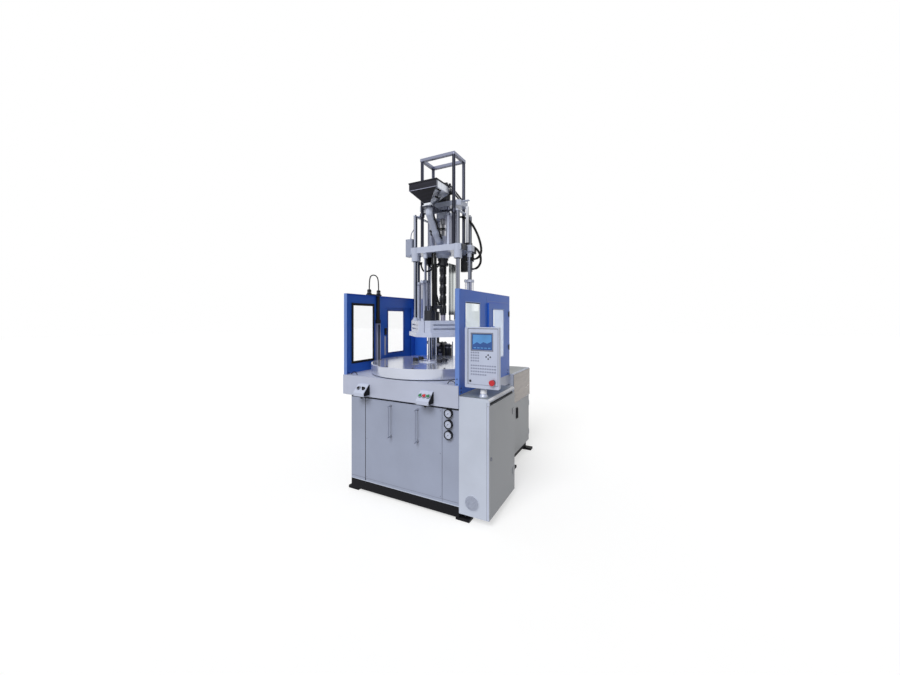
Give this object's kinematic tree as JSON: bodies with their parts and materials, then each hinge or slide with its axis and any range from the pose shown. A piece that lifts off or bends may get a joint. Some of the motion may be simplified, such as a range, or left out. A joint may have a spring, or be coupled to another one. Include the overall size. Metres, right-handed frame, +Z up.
{
  "type": "vertical injection moulding machine",
  "caption": "Vertical injection moulding machine: rotary table under a clamp platen on tie bars, a column-guided injection unit with hopper, blue guards, cabinet, operator panel.",
  "frame": {"origin": "on the floor under the middle of the machine's bounding box", "axes": "+Z up, +X to the operator's right, -Y towards the operator at the front"},
  "size_m": [1.6004, 1.9326, 3.295],
  "materials": {
    "black_paint": "satin black paint",
    "grey_paint": "light blue-grey textured powder coat",
    "white_paint": "light grey gloss paint",
    "blue_paint": "blue powder coat",
    "bronze": "machined bronze",
    "steel": "machined steel",
    "ground_steel": "ground steel",
    "stainless": "stainless sheet",
    "black_steel": "black oxide",
    "chrome": "hard chrome",
    "aluminium": "anodised aluminium",
    "clear_pane": "clear polycarbonate",
    "black_plastic": "matt black plastic",
    "white_plastic": "white plastic",
    "green_plastic": "green plastic",
    "red_plastic": "red plastic",
    "black_rubber": "black rubber"
  },
  "bodies": {
    "machine": {"base_beams": "black_paint", "base_housing": "grey_paint", "front_cover": "grey_paint", "cover_handles": "grey_paint", "bed_plate": "grey_paint", "tie_bar_bushes": "bronze", "table_bearing": "steel", "clamp_cylinder": "steel", "guard_panes": "clear_pane", "light_curtain": "black_plastic", "curtain_cable": "black_rubber", "pressure_gauges": "black_plastic", "electrical_cabinet": "grey_paint", "hmi_pedestal": "white_paint", "power_unit_housing": "grey_paint", "oil_tank": "steel", "pump_set": "black_steel", "left_guard": "blue_paint", "right_guard": "blue_paint", "button_box_left": "white_paint", "button_box_right": "white_paint"},
    "table": {"rotary_table": "ground_steel"},
    "clamp": {"platen": "white_paint", "tie_bars": "chrome", "tie_bar_nuts": "black_steel", "crosshead": "steel", "clamp_rod": "chrome", "guide_columns": "chrome", "carriage_cylinders": "white_paint", "barrel_guard": "stainless"},
    "carriage": {"carriage_plate": "white_paint", "carriage_rods": "chrome", "barrel": "steel", "nozzle": "steel", "feed_throat": "white_paint", "injection_cylinders": "white_paint", "top_frame": "chrome", "hopper": "stainless", "feed_pipe": "white_paint", "junction_box": "grey_paint", "oil_manifold": "black_steel", "heater_cables": "black_rubber", "hydraulic_hoses": "black_rubber"},
    "injection": {"drive_plate": "white_paint", "injection_rods": "chrome", "hydraulic_motor": "black_steel"},
    "screw": {"screw": "steel"},
    "left_door": {"left_guard_door": "blue_paint", "left_door_pane": "clear_pane"},
    "right_door": {"right_guard_door": "blue_paint", "right_door_pane": "clear_pane"},
    "cabinet_door": {"cabinet_door": "grey_paint"},
    "operator_panel": {"hmi_panel": "aluminium"},
    "panel_stop": {"hmi_stop_button": "red_plastic"},
    "unit_door": {"power_unit_door": "grey_paint"},
    "unit_handle": {"power_unit_handle": "black_plastic"},
    "start_button_left": {"start_button_left": "white_plastic"},
    "start_button_right": {"start_button_right": "green_plastic"},
    "clamp_open_button": {"clamp_open_button": "green_plastic"},
    "stop_button": {"stop_button": "red_plastic"}
  },
  "joints": [
    {"name": "table_turn", "type": "hinge", "parent": "machine", "child": "table", "pos_m": [-0.13475, -0.31075, 1.0715], "axis": [0, 0, 1], "range_deg": [0, 180]},
    {"name": "clamp_slide", "type": "slide", "parent": "machine", "child": "clamp", "axis": [0, 0, 1], "range_m": [-0.046, 0.154]},
    {"name": "carriage_slide", "type": "slide", "parent": "clamp", "child": "carriage", "axis": [0, 0, 1], "range_m": [0, 0.2]},
    {"name": "injection_slide", "type": "slide", "parent": "carriage", "child": "injection", "axis": [0, 0, 1], "range_m": [-0.04, 0.12]},
    {"name": "screw_turn", "type": "hinge", "parent": "injection", "child": "screw", "pos_m": [-0.13475, -0.04325, 2.345], "axis": [0, 0, 1], "continuous": true},
    {"name": "left_door_hinge", "type": "hinge", "parent": "machine", "child": "left_door", "pos_m": [-0.75725, 0.29075, 1.4], "axis": [0, 0, -1], "range_deg": [0, 100]},
    {"name": "right_door_hinge", "type": "hinge", "parent": "machine", "child": "right_door", "pos_m": [0.48775, 0.29075, 1.4], "axis": [0, 0, 1], "range_deg": [0, 100]},
    {"name": "cabinet_door_hinge", "type": "hinge", "parent": "machine", "child": "cabinet_door", "pos_m": [0.72125, -0.25575, 0.5], "axis": [0, 0, 1], "range_deg": [0, 100]},
    {"name": "panel_swivel", "type": "hinge", "parent": "machine", "child": "operator_panel", "pos_m": [0.65525, -0.80125, 1.055], "axis": [0, 0, 1], "range_deg": [-60, 60]},
    {"name": "panel_stop_press", "type": "slide", "parent": "operator_panel", "child": "panel_stop", "axis": [0, 1, 0], "range_m": [0, 0.005], "stiffness_N_per_m": 800},
    {"name": "unit_door_hinge", "type": "hinge", "parent": "machine", "child": "unit_door", "pos_m": [0.51375, 0.94825, 0.4], "axis": [0, 0, 1], "range_deg": [0, 100]},
    {"name": "unit_handle_turn", "type": "hinge", "parent": "unit_door", "child": "unit_handle", "pos_m": [0.51925, 0.46875, 0.586], "axis": [1, 0, 0], "range_deg": [0, 90]},
    {"name": "start_button_left_press", "type": "slide", "parent": "machine", "child": "start_button_left", "axis": [0, 0.7071, -0.7071], "range_m": [0, 0.003], "stiffness_N_per_m": 800},
    {"name": "start_button_right_press", "type": "slide", "parent": "machine", "child": "start_button_right", "axis": [0, 0.7071, -0.7071], "range_m": [0, 0.003], "stiffness_N_per_m": 800},
    {"name": "clamp_open_button_press", "type": "slide", "parent": "machine", "child": "clamp_open_button", "axis": [0, 0.7071, -0.7071], "range_m": [0, 0.003], "stiffness_N_per_m": 800},
    {"name": "stop_button_press", "type": "slide", "parent": "machine", "child": "stop_button", "axis": [0, 0.7071, -0.7071], "range_m": [0, 0.003], "stiffness_N_per_m": 800}
  ]
}
